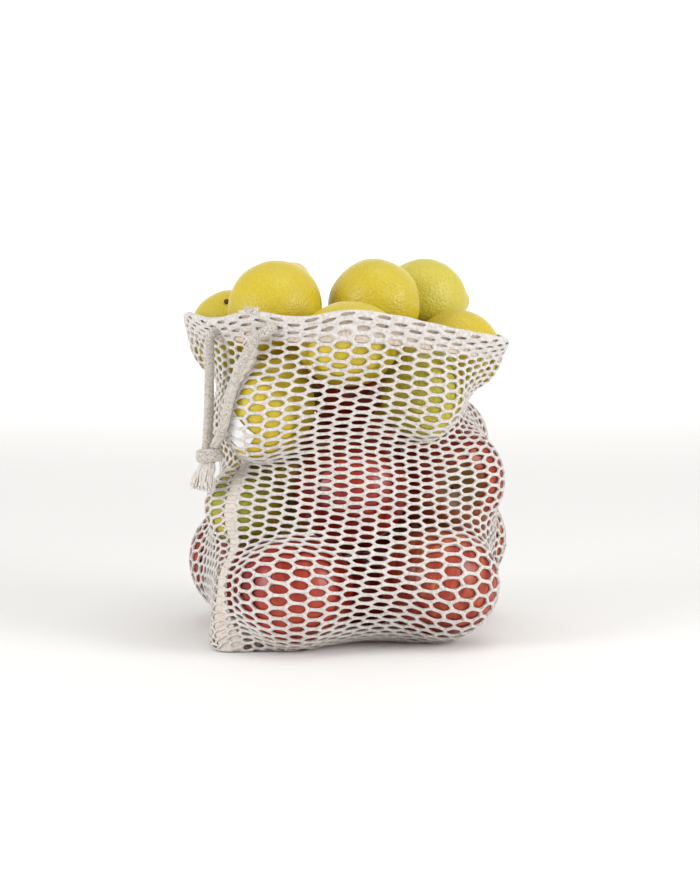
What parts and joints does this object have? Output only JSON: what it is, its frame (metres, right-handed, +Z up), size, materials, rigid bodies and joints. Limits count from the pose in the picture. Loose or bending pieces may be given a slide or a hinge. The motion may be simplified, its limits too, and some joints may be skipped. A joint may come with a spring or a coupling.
{
  "type": "filled cotton mesh pouch",
  "caption": "Open drawstring pouch of knitted cotton mesh, standing upright, filled with apples and lemons and heaped with lemons above its flared hem, with knotted cord ends at one side",
  "frame": {"origin": "on the floor, under the middle of the pouch", "axes": "+Z up, -Y towards the front, where the side seam and the cord ends show at the left"},
  "size_m": [0.1976, 0.1865, 0.2232],
  "materials": {
    "cotton_mesh": "undyed knitted cotton mesh",
    "lemon_peel": "waxy lemon rind with fine pores",
    "cotton_cord": "undyed braided cotton cord"
  },
  "bodies": {
    "root": {"pouch": "cotton_mesh", "lemon_left": "lemon_peel", "lemon_middle": "lemon_peel", "lemon_right_back": "lemon_peel", "lemon_right_low": "lemon_peel", "lemon_left_back": "lemon_peel", "lemon_front": "lemon_peel", "drawstring_left": "cotton_cord", "drawstring_right": "cotton_cord", "drawstring_knot": "cotton_cord", "drawstring_tassel": "cotton_cord"}
  },
  "joints": []
}
